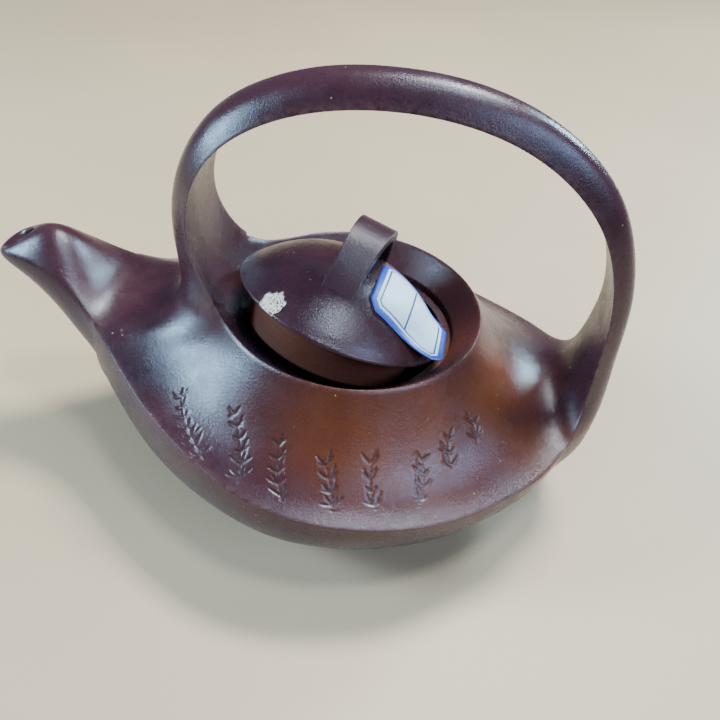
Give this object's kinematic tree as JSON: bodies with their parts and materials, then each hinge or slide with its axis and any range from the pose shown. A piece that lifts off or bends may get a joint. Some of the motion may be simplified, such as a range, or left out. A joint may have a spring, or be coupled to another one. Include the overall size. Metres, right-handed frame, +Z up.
{
  "type": "clay teapot",
  "caption": "Low clay teapot with one sharp edge running from spout to tail and over as a ribbon handle, with a domed strap-knob lid.",
  "frame": {"origin": "centre of the base disc's underside, on the floor", "axes": "+Z up, -X along the spout, +X towards the tail where the handle rises; the pot is symmetric left to right about the XZ plane"},
  "size_m": [0.2444, 0.164, 0.1698],
  "materials": {
    "clay": null,
    "warm_clay": null,
    "paper": null
  },
  "bodies": {
    "pot": {"base_disc": "clay", "body_bowl": "clay", "shoulder": "warm_clay", "mouth_collar": "warm_clay", "overhead_handle": "clay", "spout": "clay", "spout_strainer": "clay"},
    "lid": {"lid_dome": "clay", "lid_flange": "warm_clay", "lid_knob": "clay", "price_label": "paper"}
  },
  "joints": [
    {"name": "lid_lift", "type": "slide", "parent": "pot", "child": "lid", "axis": [0, 0, 1], "range_m": [0, 0.034]}
  ]
}
